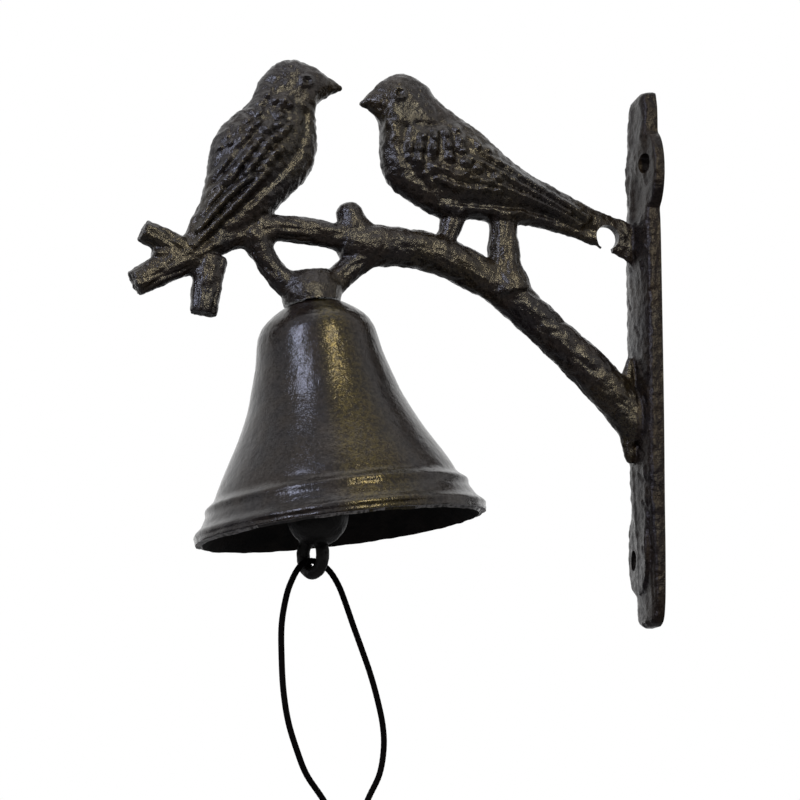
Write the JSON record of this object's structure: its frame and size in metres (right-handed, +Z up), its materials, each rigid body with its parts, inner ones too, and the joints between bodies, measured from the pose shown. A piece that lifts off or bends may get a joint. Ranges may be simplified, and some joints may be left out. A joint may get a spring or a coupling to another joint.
{
  "type": "wall doorbell",
  "caption": "Cast-iron wall doorbell: a bough with a pair of perched birds carries a bell, with a clapper inside and a looped pull cord below it.",
  "frame": {"origin": "on the wall face of the plate, in the mid plane of the arm, at the mid height of the plate", "axes": "+X out of the back of the plate into the wall, the arm runs towards -X; +Z up; -Y is the side the picture shows"},
  "size_m": [0.1786, 0.095, 0.2696],
  "materials": {
    "cast_iron": "satin brown-black, sand-cast grain",
    "dark_steel": "dark oiled",
    "black_cord": "matt black"
  },
  "bodies": {
    "bracket_and_bell": {"bracket": "cast_iron", "bell": "cast_iron", "crown_washer": "dark_steel", "crown_nut": "dark_steel", "eye_bolt": "dark_steel"},
    "link": {"clapper_link": "dark_steel"},
    "clapper_and_cord": {"clapper": "cast_iron", "pull_cord": "black_cord", "cord_knot": "black_cord"}
  },
  "joints": [
    {"name": "link_swing", "type": "hinge", "parent": "bracket_and_bell", "child": "link", "pos_m": [-0.11568, 0, -0.00416], "axis": [0, 1, 0], "range_deg": [-28, 14]},
    {"name": "clapper_swing", "type": "hinge", "parent": "link", "child": "clapper_and_cord", "pos_m": [-0.11568, 0, -0.01036], "axis": [1, 0, 0], "range_deg": [-17, 17]}
  ]
}
